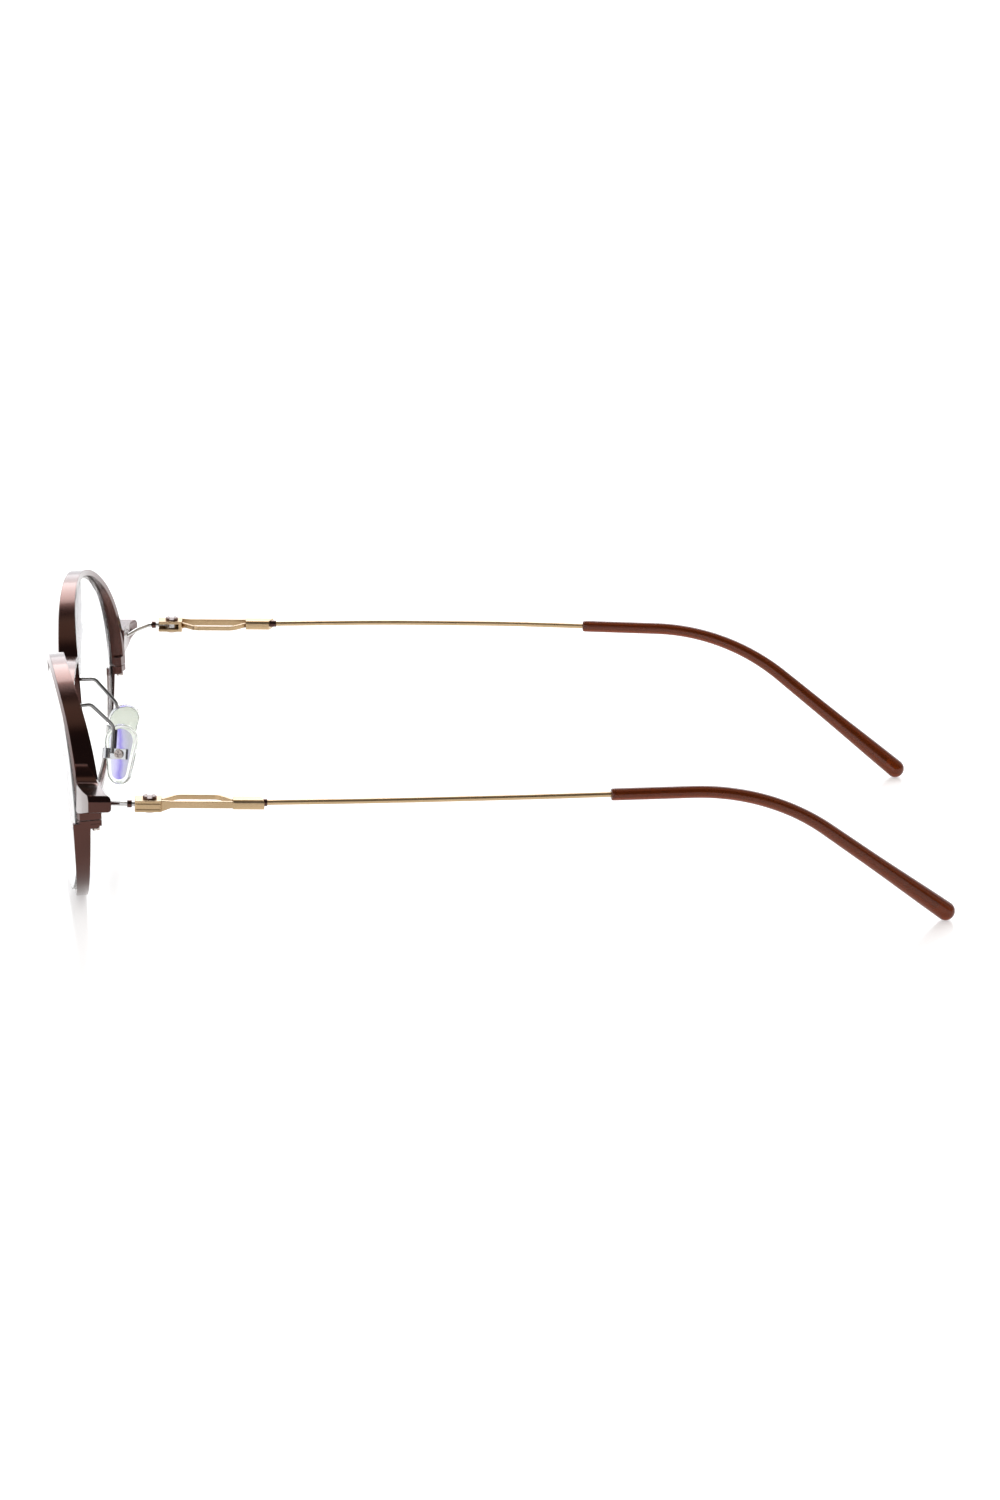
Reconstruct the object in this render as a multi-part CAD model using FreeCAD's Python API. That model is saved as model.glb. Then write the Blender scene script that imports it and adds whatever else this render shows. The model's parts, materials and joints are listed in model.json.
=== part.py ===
import FreeCAD, Part
import math
import os

from FreeCAD import Placement, Rotation, Vector

# Full-rim metal eyeglasses: rims that are deep over the brow and slim below, wire temples.
# Units are mm. +Z is up, +X is the wearer's left, the front faces -Y.
# The left (+X) half is modelled and mirrored about X = 0, then the whole set is moved so that the
# centre of its footprint is at the origin and its lowest points rest at Z = 0.

# ---------------------------------------------------------------- driving dimensions
EYE_WIDTH = 46.0            # lens width, the "eye size"
EYE_HEIGHT = 38.0           # lens height
BRIDGE_GAP = 19.0           # distance between the lenses
SIDE_RADIUS = 17.3          # radius of the two end arcs of the lens outline
LENS_RADIUS = 110.0         # radius of the lens front surface
LENS_THICKNESS = 2.0
LENS_SETBACK = 1.3          # its front vertex lies this far behind the front's datum
LENS_SKEW = 2.4             # and its sphere is centred this far towards the nose
WRAP_ANGLE = 4.9            # each lens is turned outward by this many degrees
PANTO_ANGLE = 4.1           # the lens bottoms lean towards the face
LENS_CENTRE_Y = -77.4       # datum of the front, on the lens axis
LENS_CENTRE_Z = 19.67
BEVEL_HEIGHT = 0.4          # tongue round the lens edge, which sits in the rim's groove
BEVEL_WIDTH = 0.5
BEVEL_SETBACK = 1.2         # behind the lens's front surface
BEVEL_FIT = 0.05

RIM_WALL = 1.05             # radial thickness of the rim band
RIM_FIT = 0.12              # gap between the rim and the lens edge
RIM_RADIUS = 64.0           # the rim's front face follows a sphere of this radius
RIM_LIP = 0.5               # whose pole stands this far in front of the datum
RIM_SKEW = 1.9              # and which is centred this far towards the nose, so it wraps more
RIM_REAR_NASAL = 7.1        # depth of the band's rear face behind the datum, at its ends
RIM_REAR_TOP = 5.25         # and over the brow
RIM_REAR_TEMPORAL = 8.6
BROW_END = -3.5             # the deep brow half ends this far below the lens centre
LOWER_FRONT = 3.85          # depth of the slim lower half's front face behind the datum
LOWER_REAR = 6.9            # depth of its rear face at the height of the lens centre
LOWER_TAPER = 0.064         # by which its depth falls per mm downward
GROOVE_LEVELS = [-2.6, -3.0]                # fine lines across the lock block
GROOVE_SIZE = 0.12
BROW_STEPS = [(7.6, -3.35), (8.2, -3.1)]    # depth and height of the steps cut in the brow's end

LOCK_SPLIT = -2.0           # the rim is split here, and a screw closes it round the lens
LOCK_GAP = 0.12
LOCK_TOP = -0.4             # top of the block behind the lens that the screw runs through
LOCK_INNER = 22.1
LOCK_FRONT = 6.75
LOCK_X, LOCK_Y = 23.15, 7.6                 # screw axis in the lens frame
LOCK_RADIUS = 0.4
LOCK_HEAD_RADIUS = 0.62
LOCK_HEAD_HEIGHT = 0.4
LOCK_DEPTH = -0.8           # height that the screw's end reaches
LOCK_SLOT = 0.16

LUG_TOP = 24.5              # lug that carries the hinge arm, outward from the rim
LUG_OUTER_X = 65.0
LUG_PROFILE = [(54.0, LUG_TOP), (64.4, LUG_TOP), (LUG_OUTER_X, 23.6), (LUG_OUTER_X, 21.9),
               (60.8, 20.6), (57.4, 19.8), (54.0, 19.8)]    # seen from the front, x and z
LUG_PLAN = [(54.0, -71.2), (57.4, -70.6), (61.5, -69.6), (65.2, -68.4), (65.2, -64.7),
            (61.5, -66.1), (57.4, -66.85), (54.0, -66.9)]   # seen from above, x and y
LUG_ROUND = 0.5             # of the lug's two rear edges
LUG_SCOOP = 3.0             # hollow radius that blends the lug's top into the rim
LUG_SCOOP_X = 58.0
LUG_FLARE = [(-67.1, LUG_TOP), (-69.2, 27.7)]   # the blend's rear edge, y and z


BRIDGE_END_X = 13.0
BRIDGE_END_Z = 28.8
BRIDGE_TOP_Z = 31.8
BRIDGE_WALL = 1.05
BRIDGE_FRONT_Y = -76.4
BRIDGE_DEPTH = 3.3

HINGE_X, HINGE_Y, HINGE_Z = 65.0, -58.5, 23.4
KNUCKLE_RADIUS = 1.15
KNUCKLE_HEIGHT = 0.84
BOX_GAP = 0.94              # opening between the two hinge plates
BOX_HEIGHT = 1.84
SCREW_RADIUS = 0.55
RUNNING_FIT = 0.05          # radial clearance of a turning hole
ARM_RADIUS = 0.37           # hinge arm wire
ARM_ROUTE = [Vector(59.6, -67.0, 22.3), Vector(62.8, -64.9, 22.9), Vector(65.0, -62.6, 23.4)]
ARM_BENDS = [3.0, 2.5]
ARM_RING_RADIUS = 0.62      # ring where the wire enters the hinge
ARM_RING_LENGTH = 0.75
ARM_RING_Y = -62.15
BOX_INNER, BOX_OUTER = 1.7, 1.9             # hinge box around the screw axis
BOX_FRONT, BOX_REAR = 2.4, 1.9
BOX_CORNER = 0.3
BOX_SEAM = 0.12             # width and depth of the two seams along its outer wall
SCREW_HEAD_RADIUS = 1.15
SCREW_HEAD_HEIGHT = 0.5
SCREW_SLOT = 0.8
NUT_RADIUS = 1.0
NUT_HEIGHT = 0.4

LEAF_HEIGHT = 1.1
LEAF_THICKNESS = 0.6
LEAF_X = 65.95              # inner face of the outer leaf
LEAF_FLARE = 1.6
STRAND_HEIGHT = 0.75
STRAND_THICKNESS = 0.5
STRAND_ROOT_X = 64.2
STRAND_BOW_X = 61.3
STRAND_RISE = 2.4           # the strand bows out within this length at each end
STRAND_BEND = 1.6
COLLAR_FRONT_Y = -45.0
COLLAR_REAR_Y = -39.9
COLLAR_X = 65.05
COLLAR_Z = 23.65
COLLAR_WIDTH = 3.0
COLLAR_HEIGHT = 1.7
COLLAR_SLANT = 0.9          # its rear end is cut askew by this much
COLLAR_ROUND = 0.6
SEAL_RADIUS = 0.6           # ring that closes the collar's rear mouth round the wire
SEAL_LENGTH = 0.45

WIRE_RADIUS = 0.425         # temple core wire
TIP_START_Y = 16.15         # where the acetate sleeve begins
TIP_START_RADIUS = 1.02
TIP_BEND_RADIUS = 1.08      # sleeve radius at the end of the ear bend
TIP_MIDDLE_RADIUS = 1.25    # halfway down the straight tail
TIP_END_RADIUS = 1.62
EAR_BEND_RADIUS = 38.0
TEMPLE_ROUTE = [Vector(65.05, -44.2, 23.65), Vector(64.9, -20.0, 24.15), Vector(63.2, 3.0, 24.45),
                Vector(57.9, 42.6, 24.6), Vector(48.1, 73.1, 1.45)]
TEMPLE_BENDS = [220.0, 200.0, EAR_BEND_RADIUS]
CORE_STOP = 2.0             # the core wire ends this far short of the sleeve's end centre

PAD_CENTRE = Vector(7.95, -65.15, 17.3)
PAD_SPLAY = 12.0
PAD_TILT = 16.0
PAD_LENGTH = 10.4
PAD_TOP_RADIUS = 2.95
PAD_BOTTOM_RADIUS = 2.15
PAD_THICKNESS = 2.0
PAD_SCREW_RADIUS = 0.45
PAD_PLATE_INSET = 0.85      # metal backing plate let into the pad's outer face
PAD_PLATE_THICKNESS = 0.3
PAD_HUB_RADIUS = 0.9
PAD_HUB_FACE = 1.2          # pad axes: x out from the nose, y rearward, z up
PAD_CLIP_INNER, PAD_CLIP_OUTER = 1.25, 1.75
PAD_BOX_FRONT, PAD_BOX_REAR = 2.3, 1.25
PAD_BOX_HEIGHT = 1.8
PAD_CHEEK_RADIUS = 0.7
PAD_HEAD_FACE = 1.8
PAD_HEAD_RADIUS = 0.78
PAD_ARM_ROUTE = [Vector(9.9, -73.0, 26.2), Vector(9.3, -70.3, 26.4)]
PAD_ARM_BENDS = [1.2, 1.6]
PAD_ARM_RADIUS = 0.32
PAD_ARM_DROP = 4.7
PAD_ARM_OFFSET = 1.2       # the arm meets the clip this far in front of the screw

X_AXIS = Vector(1, 0, 0)
Y_AXIS = Vector(0, 1, 0)
Z_AXIS = Vector(0, 0, 1)
FAR = 60.0                  # larger than any feature, for cutting blocks

half_width = EYE_WIDTH / 2
half_height = EYE_HEIGHT / 2
lens_centre_x = (EYE_WIDTH + BRIDGE_GAP) / 2
hinge_point = Vector(HINGE_X, HINGE_Y, HINGE_Z)
lens_place = Placement(
    Vector(lens_centre_x, LENS_CENTRE_Y, LENS_CENTRE_Z),
    Rotation(Z_AXIS, WRAP_ANGLE) * Rotation(X_AXIS, PANTO_ANGLE))
pad_place = Placement(
    PAD_CENTRE,
    Rotation(Z_AXIS, -PAD_SPLAY) * Rotation(Y_AXIS, -PAD_TILT))


# ---------------------------------------------------------------- small helpers
def box(x0, x1, y0, y1, z0, z1):
    return Part.makeBox(x1 - x0, y1 - y0, z1 - z0, Vector(x0, y0, z0))


def cylinder(radius, start, end):
    axis = end - start
    return Part.makeCylinder(radius, axis.Length, start, axis)


def placed(shape, place):
    copy = shape.copy()
    copy.Placement = place.multiply(copy.Placement)
    return copy


def mirrored(shape):
    return shape.mirror(Vector(0, 0, 0), X_AXIS)


def prism(points, direction):
    """Solid swept straight from a closed polygon."""
    return Part.Face(Part.makePolygon(points + [points[0]])).extrude(direction)


def arc_route(points, radii):
    """Straight runs through the points, joined by tangent arcs of the given radii."""
    edges = []
    start = points[0]
    for before, corner, after, radius in zip(points, points[1:], points[2:], radii):
        into = (corner - before).normalize()
        out = (after - corner).normalize()
        turn = into.getAngle(out)
        reach = radius * math.tan(turn / 2)
        arc_start = corner - into * reach
        arc_end = corner + out * reach
        inward = (out - into).normalize()
        middle = corner + inward * (radius / math.cos(turn / 2) - radius)
        edges.append(Part.LineSegment(start, arc_start).toShape())
        edges.append(Part.Arc(arc_start, middle, arc_end).toShape())
        start = arc_end
    edges.append(Part.LineSegment(start, points[-1]).toShape())
    return edges


def circle_at(edge, parameter, radius):
    """Circle square to an edge at its first or last point."""
    circle = Part.Circle(edge.valueAt(parameter), edge.tangentAt(parameter), radius)
    return Part.Wire(circle.toShape())


def round_sweep(edges, radius, end_radius=None):
    """Solid of round section along tangent edges, tapering if end_radius is given."""
    pipe = Part.BRepOffsetAPI.MakePipeShell(Part.Wire(edges))
    pipe.setFrenetMode(False)
    pipe.add(circle_at(edges[0], edges[0].FirstParameter, radius))
    if end_radius is not None:
        pipe.add(circle_at(edges[-1], edges[-1].LastParameter, end_radius))
    pipe.build()
    pipe.makeSolid()
    return pipe.shape()


def fused(shapes):
    result = shapes[0]
    for shape in shapes[1:]:
        result = result.fuse(shape)
    return result.removeSplitter()


# ---------------------------------------------------------------- lens outline
def outline_edges(offset, depth=0.0):
    """Oval of four tangent arcs in the lens plane, grown outward by an offset."""
    side_centre = half_width - SIDE_RADIUS
    rise = half_height
    cap_radius = ((side_centre ** 2 + rise ** 2 - SIDE_RADIUS ** 2) / (2 * (rise - SIDE_RADIUS)))
    cap_centre = cap_radius - rise
    angle = math.atan2(cap_centre, side_centre)
    side = SIDE_RADIUS + offset
    cap = cap_radius + offset
    corner = Vector(side_centre + side * math.cos(angle), depth, side * math.sin(angle))
    right = Vector(side_centre + side, depth, 0)
    top = Vector(0, depth, cap - cap_centre)

    def at(point, sx, sz):
        return Vector(point.x * sx, depth, point.z * sz)

    return [
        Part.Arc(at(corner, 1, -1), right, corner).toShape(),
        Part.Arc(corner, top, at(corner, -1, 1)).toShape(),
        Part.Arc(at(corner, -1, 1), at(right, -1, 1), at(corner, -1, -1)).toShape(),
        Part.Arc(at(corner, -1, -1), at(top, 1, -1), at(corner, 1, -1)).toShape(),
    ]


def oval_prism(offset):
    face = Part.Face(Part.Wire(outline_edges(offset, -5.0)))
    return face.extrude(Y_AXIS * 25.0)


def ball(radius, pole_depth, skew):
    """Ball whose front pole lies this deep behind the datum, centred towards the nose."""
    return Part.makeSphere(radius, Vector(-skew, radius + pole_depth, 0))


def above(level):
    return box(-FAR, FAR, -FAR, FAR, level, FAR)


def lens_shell(setback, thickness):
    """Layer that follows the lens's front surface this far behind it."""
    depth = LENS_SETBACK + setback
    outer = ball(LENS_RADIUS - setback, depth, LENS_SKEW)
    return outer.cut(ball(LENS_RADIUS - setback - thickness, depth + thickness, LENS_SKEW))


def bevel_ring(clearance):
    """Tongue round the lens edge, or the groove for it when grown by a clearance."""
    ring = oval_prism(BEVEL_HEIGHT + clearance).cut(oval_prism(-BEVEL_HEIGHT))
    return ring.common(lens_shell(BEVEL_SETBACK - clearance, BEVEL_WIDTH + 2 * clearance))


def rear_cutter():
    """Cylinder that trims the rear of the rim band, deeper at the two ends."""
    reach = half_width + RIM_WALL
    curve = Part.Circle(Vector(-reach, RIM_REAR_NASAL, 0), Vector(0, RIM_REAR_TOP, 0),
                        Vector(reach, RIM_REAR_TEMPORAL, 0))
    foot = curve.Center - Z_AXIS * FAR
    return Part.makeCylinder(curve.Radius, 2 * FAR, foot, Z_AXIS)


def rim_depth(shape):
    """Trim a lens-frame shape to the front and rear faces of the rim band."""
    return shape.common(ball(RIM_RADIUS, -RIM_LIP, RIM_SKEW)).cut(rear_cutter())


# ---------------------------------------------------------------- front
def make_lens():
    blank = oval_prism(0.0).common(lens_shell(0.0, LENS_THICKNESS))
    return fused([blank, bevel_ring(0.0)])


def lower_band(band):
    """Slim lower half of the rim, whose rear face leans forward towards the bottom."""
    reach = BROW_END + 1.0
    foot = -half_height - 2.0
    side = [Vector(-FAR, LOWER_FRONT, reach), Vector(-FAR, LOWER_REAR + LOWER_TAPER * reach, reach),
            Vector(-FAR, LOWER_REAR + LOWER_TAPER * foot, foot), Vector(-FAR, LOWER_FRONT, foot)]
    return band.common(prism(side, X_AXIS * 2 * FAR))


def make_rim():
    """Rim grooved for the lens, split beside the lug and closed there by the lock screw."""
    edge = RIM_FIT + RIM_WALL
    band = oval_prism(edge).cut(oval_prism(RIM_FIT))
    block = box(LOCK_INNER, FAR, LOCK_FRONT, 20, BROW_END, LOCK_TOP).common(oval_prism(edge))
    brow = rim_depth(fused([band, block])).common(above(BROW_END))
    for depth, level in BROW_STEPS:
        brow = brow.cut(box(0, FAR, depth, 20, BROW_END - 1, level))
    rim = fused([brow, lower_band(band)]).cut(bevel_ring(BEVEL_FIT))
    for level in GROOVE_LEVELS:
        outer = half_width + edge - 2 * GROOVE_SIZE
        rim = rim.cut(box(outer, FAR, LOCK_FRONT, 20, level - GROOVE_SIZE, level))
    rim = rim.cut(box(half_width - 3, FAR, 0, 20, LOCK_SPLIT - LOCK_GAP / 2, LOCK_SPLIT + LOCK_GAP / 2))
    middle = Vector(LOCK_X, LOCK_Y, LOCK_SPLIT)
    lower_hole = cylinder(LOCK_RADIUS + RUNNING_FIT, Vector(LOCK_X, LOCK_Y, BROW_END - 1), middle)
    upper_hole = cylinder(LOCK_RADIUS, middle, Vector(LOCK_X, LOCK_Y, LOCK_DEPTH + 0.1))
    return rim.cut(lower_hole).cut(upper_hole)


def make_lock_screw():
    seat = Vector(LOCK_X, LOCK_Y, BROW_END)
    foot = seat - Z_AXIS * LOCK_HEAD_HEIGHT
    screw = fused([cylinder(LOCK_HEAD_RADIUS, foot, seat),
                   cylinder(LOCK_RADIUS, seat, Vector(LOCK_X, LOCK_Y, LOCK_DEPTH))])
    return screw.cut(box(LOCK_X - 1, LOCK_X + 1, LOCK_Y - LOCK_SLOT / 2, LOCK_Y + LOCK_SLOT / 2,
                         foot.z - 1, foot.z + LOCK_SLOT))


def make_end_piece(rim_block, arm):
    """Lug that sweeps outward and back from the rim and carries the hinge arm."""
    front_view = prism([Vector(x, -80, z) for x, z in LUG_PROFILE], Y_AXIS * 25)
    scoop_top = LUG_TOP + LUG_SCOOP
    scoop = box(54.0, LUG_SCOOP_X, -80, -55, LUG_TOP - 1, scoop_top)
    scoop = scoop.cut(cylinder(LUG_SCOOP, Vector(LUG_SCOOP_X, -90, scoop_top),
                               Vector(LUG_SCOOP_X, -50, scoop_top)))
    (rear_y, rear_z), (top_y, top_z) = LUG_FLARE
    scoop = scoop.cut(prism([Vector(0, rear_y, rear_z), Vector(0, top_y, top_z), Vector(0, -55, top_z),
                             Vector(0, -55, rear_z)], X_AXIS * FAR))
    plan = prism([Vector(x, y, 0) for x, y in LUG_PLAN], Z_AXIS * FAR)
    lug = front_view.fuse(scoop).removeSplitter().common(plan)
    rear_edges = [edge for edge in lug.Edges
                  if edge.BoundBox.XLength > 2.5 and edge.BoundBox.YMax > LUG_PLAN[4][1] - 0.5]
    lug = lug.makeFillet(LUG_ROUND, rear_edges)
    return lug.cut(rim_block).cut(arm).removeSplitter()


def make_bridge(rim_block):
    """Flat arched strap between the two rims."""
    def arch(shift):
        end = Vector(BRIDGE_END_X, BRIDGE_FRONT_Y, BRIDGE_END_Z + shift)
        top = Vector(0, BRIDGE_FRONT_Y, BRIDGE_TOP_Z + shift)
        return Part.Arc(Vector(-end.x, end.y, end.z), top, end).toShape()

    upper = arch(0.0)
    lower = arch(-BRIDGE_WALL)
    ends = [Part.LineSegment(upper.Vertexes[i].Point, lower.Vertexes[i].Point).toShape()
            for i in (0, 1)]
    strap = Part.Face(Part.Wire(Part.__sortEdges__([upper, lower] + ends)))
    strap = strap.extrude(Y_AXIS * BRIDGE_DEPTH)
    return strap.cut(rim_block).cut(mirrored(rim_block))


# ---------------------------------------------------------------- hinge
def make_hinge_arm():
    """Silver wire from the lug to the knuckle that the hinge screw passes through."""
    edges = arc_route(ARM_ROUTE + [hinge_point], ARM_BENDS)
    wire = round_sweep(edges, ARM_RADIUS)
    half = Z_AXIS * (KNUCKLE_HEIGHT / 2)
    wire = wire.fuse(cylinder(KNUCKLE_RADIUS, hinge_point - half, hinge_point + half))
    bore = SCREW_RADIUS + RUNNING_FIT
    return wire.cut(cylinder(bore, hinge_point - Z_AXIS * 3, hinge_point + Z_AXIS * 3))


def make_arm_ring(arm):
    """Ring slid over the hinge arm against the open front of the hinge box."""
    front = Vector(HINGE_X, ARM_RING_Y, HINGE_Z)
    return cylinder(ARM_RING_RADIUS, front, front + Y_AXIS * ARM_RING_LENGTH).cut(arm)


def make_hinge_box():
    """Two plates joined by an outer and a rear wall, open to the front and inner sides."""
    x, y, z = hinge_point
    half = BOX_HEIGHT / 2
    shell = box(x - BOX_INNER, x + BOX_OUTER, y - BOX_FRONT, y + BOX_REAR, z - half, z + half)
    upright = [edge for edge in shell.Edges if abs(edge.tangentAt(0).z) > 0.9]
    shell = shell.makeFillet(BOX_CORNER, upright)
    slot = box(x - 5, x + KNUCKLE_RADIUS + 0.1, y - 5, y + KNUCKLE_RADIUS + 0.1,
               z - BOX_GAP / 2, z + BOX_GAP / 2)
    shank = cylinder(SCREW_RADIUS, hinge_point - Z_AXIS * 3, hinge_point + Z_AXIS * 3)
    wall = x + BOX_OUTER
    for seam in (z - BOX_GAP / 2, z + BOX_GAP / 2):
        shell = shell.cut(box(wall - BOX_SEAM, wall + 1, y - 5, y + 5,
                              seam - BOX_SEAM / 2, seam + BOX_SEAM / 2))
    return shell.cut(slot).cut(shank)


def make_hinge_screw():
    top = hinge_point + Z_AXIS * (BOX_HEIGHT / 2)
    bottom = hinge_point - Z_AXIS * (BOX_HEIGHT / 2 + NUT_HEIGHT)
    head = cylinder(SCREW_HEAD_RADIUS, top, top + Z_AXIS * SCREW_HEAD_HEIGHT)
    head = head.makeChamfer(0.1, [head.Edges[0]])
    slot = box(-5, 5, -SCREW_SLOT / 2, SCREW_SLOT / 2, SCREW_HEAD_HEIGHT / 2, 5)
    slot.translate(top)
    return head.cut(slot).fuse(cylinder(SCREW_RADIUS, bottom, top)).removeSplitter()


def make_hinge_nut():
    top = hinge_point - Z_AXIS * (BOX_HEIGHT / 2)
    bottom = top - Z_AXIS * NUT_HEIGHT
    nut = cylinder(NUT_RADIUS, bottom, top)
    rim = [edge for edge in nut.Edges if edge.CenterOfMass.z < bottom.z + 0.01]
    nut = nut.makeFillet(0.25, rim)
    return nut.cut(cylinder(SCREW_RADIUS, bottom - Z_AXIS, top + Z_AXIS))


# ---------------------------------------------------------------- temple
def make_outer_leaf():
    """Straight outer side of the spring loop, flared where it meets the hinge box."""
    start = HINGE_Y + BOX_REAR
    half = LEAF_HEIGHT / 2
    root = BOX_HEIGHT / 2
    side = [
        Vector(LEAF_X, start, HINGE_Z - root),
        Vector(LEAF_X, start + LEAF_FLARE, COLLAR_Z - half),
        Vector(LEAF_X, COLLAR_FRONT_Y, COLLAR_Z - half),
        Vector(LEAF_X, COLLAR_FRONT_Y, COLLAR_Z + half),
        Vector(LEAF_X, start + LEAF_FLARE, COLLAR_Z + half),
        Vector(LEAF_X, start, HINGE_Z + root),
    ]
    return prism(side, X_AXIS * LEAF_THICKNESS)


def make_inner_strand():
    """Bowed inner side of the spring loop."""
    start = HINGE_Y + BOX_REAR
    route = [
        Vector(STRAND_ROOT_X, start, COLLAR_Z),
        Vector(STRAND_BOW_X, start + STRAND_RISE, COLLAR_Z),
        Vector(STRAND_BOW_X, COLLAR_FRONT_Y - STRAND_RISE, COLLAR_Z),
        Vector(STRAND_ROOT_X, COLLAR_FRONT_Y, COLLAR_Z),
    ]
    edges = arc_route(route, [STRAND_BEND, STRAND_BEND])
    along = edges[0].tangentAt(0)
    across = along.cross(Z_AXIS) * (STRAND_THICKNESS / 2)
    rise = Z_AXIS * (STRAND_HEIGHT / 2)
    corners = [across + rise, across - rise, -across - rise, -across + rise]
    section = Part.makePolygon([route[0] + c for c in corners + corners[:1]])
    strand = Part.Wire(edges).makePipeShell([section], True, False)
    keep = box(50, 80, start, COLLAR_FRONT_Y, 0, 60)
    return strand.common(keep)


def make_collar(wire):
    """Rounded ferrule that joins both sides of the loop to the temple wire."""
    half = COLLAR_HEIGHT / 2
    x0 = COLLAR_X - COLLAR_WIDTH / 2
    x1 = COLLAR_X + COLLAR_WIDTH / 2
    body = prism([
        Vector(x0, COLLAR_FRONT_Y, COLLAR_Z - half),
        Vector(x0, COLLAR_REAR_Y - COLLAR_SLANT, COLLAR_Z - half),
        Vector(x1, COLLAR_REAR_Y, COLLAR_Z - half),
        Vector(x1, COLLAR_FRONT_Y, COLLAR_Z - half),
    ], Z_AXIS * COLLAR_HEIGHT)
    lengthwise = [edge for edge in body.Edges if abs(edge.tangentAt(0).y) > 0.99]
    return body.makeFillet(COLLAR_ROUND, lengthwise).cut(wire)


def make_wire_seal(wire, collar):
    start, bend = TEMPLE_ROUTE[:2]
    along = (bend - start).normalize()
    mouth = start + along * ((COLLAR_REAR_Y - start.y) / along.y)
    seal = cylinder(SEAL_RADIUS, mouth - along, mouth + along * SEAL_LENGTH)
    return seal.cut(wire).cut(collar)


def temple_edges():
    return arc_route(TEMPLE_ROUTE, TEMPLE_BENDS)


def make_temple_wire():
    edges = temple_edges()
    end = edges[-1].valueAt(edges[-1].LastParameter)
    back = edges[-1].tangentAt(edges[-1].LastParameter) * -CORE_STOP
    start = edges[-1].valueAt(edges[-1].FirstParameter)
    edges[-1] = Part.LineSegment(start, end + back).toShape()
    return round_sweep(edges, WIRE_RADIUS)


def make_ear_tip(wire):
    """Acetate sleeve that thickens towards its rounded end."""
    run, bend, tail = temple_edges()[-3:]
    near = run.valueAt(run.FirstParameter)
    far = run.valueAt(run.LastParameter)
    share = (TIP_START_Y - near.y) / (far.y - near.y)
    start = near + (far - near) * share
    straight = Part.LineSegment(start, far).toShape()
    end = tail.valueAt(tail.LastParameter)
    waist = (tail.valueAt(tail.FirstParameter) + end) * 0.5
    upper_tail = Part.LineSegment(bend.valueAt(bend.LastParameter), waist).toShape()
    lower_tail = Part.LineSegment(waist, end).toShape()
    sleeve = fused([
        round_sweep([straight], TIP_START_RADIUS),
        round_sweep([bend], TIP_START_RADIUS, TIP_BEND_RADIUS),
        round_sweep([upper_tail], TIP_BEND_RADIUS, TIP_MIDDLE_RADIUS),
        round_sweep([lower_tail], TIP_MIDDLE_RADIUS, TIP_END_RADIUS),
        Part.makeSphere(TIP_END_RADIUS, end),
    ])
    return sleeve.cut(wire)


# ---------------------------------------------------------------- nose pads
def pad_point(x, y, z):
    """Point in the pad's own axes: x out from the nose, y rearward, z up."""
    return pad_place.multVec(Vector(x, y, z))


def pad_outline(inset):
    """Teardrop outline of the pad, wider at the top, drawn in by an inset."""
    top = PAD_LENGTH / 2 - PAD_TOP_RADIUS
    bottom = -PAD_LENGTH / 2 + PAD_BOTTOM_RADIUS
    angle = math.asin((PAD_TOP_RADIUS - PAD_BOTTOM_RADIUS) / (top - bottom))

    def rim_point(centre, radius, turn):
        reach = radius - inset
        return Vector(0, reach * math.cos(turn), centre + reach * math.sin(turn))

    flank = -angle
    a = rim_point(top, PAD_TOP_RADIUS, flank)
    b = rim_point(top, PAD_TOP_RADIUS, math.pi / 2)
    c = rim_point(top, PAD_TOP_RADIUS, math.pi - flank)
    d = rim_point(bottom, PAD_BOTTOM_RADIUS, math.pi - flank)
    e = rim_point(bottom, PAD_BOTTOM_RADIUS, -math.pi / 2)
    f = rim_point(bottom, PAD_BOTTOM_RADIUS, flank)
    return Part.Face(Part.Wire([
        Part.Arc(a, b, c).toShape(),
        Part.LineSegment(c, d).toShape(),
        Part.Arc(d, e, f).toShape(),
        Part.LineSegment(f, a).toShape(),
    ]))


def make_nose_pad(insert):
    """Soft pad, domed towards the nose, around its backing plate."""
    pad = pad_outline(0.0).extrude(X_AXIS * PAD_THICKNESS)
    pad.translate(X_AXIS * (-PAD_THICKNESS / 2))
    nose_side = [edge for edge in pad.Edges if edge.BoundBox.XMax < -PAD_THICKNESS / 2 + 0.01]
    pad = pad.makeFillet(PAD_THICKNESS * 0.45, nose_side)
    return placed(pad, pad_place).cut(insert)


def make_pad_insert(screw):
    """Polished backing plate let into the pad's outer face, with a threaded bush."""
    plate = pad_outline(PAD_PLATE_INSET).extrude(X_AXIS * PAD_PLATE_THICKNESS)
    plate.translate(X_AXIS * (PAD_THICKNESS / 2 - PAD_PLATE_THICKNESS))
    hub = cylinder(PAD_HUB_RADIUS, Vector(-0.3, 0, 0), Vector(PAD_HUB_FACE, 0, 0))
    return placed(plate.fuse(hub), pad_place).cut(screw)


def make_pad_screw():
    head = cylinder(PAD_HEAD_RADIUS, Vector(PAD_HEAD_FACE, 0, 0), Vector(PAD_HEAD_FACE + 0.4, 0, 0))
    rim = [edge for edge in head.Edges if edge.BoundBox.XMin > PAD_HEAD_FACE + 0.39]
    head = head.makeFillet(0.12, rim)
    for half_y, half_z in ((0.5, 0.1), (0.1, 0.5)):
        head = head.cut(box(PAD_HEAD_FACE + 0.2, 5, -half_y, half_y, -half_z, half_z))
    shank = cylinder(PAD_SCREW_RADIUS, Vector(0, 0, 0), Vector(PAD_HEAD_FACE, 0, 0))
    return placed(head.fuse(shank), pad_place)


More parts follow.
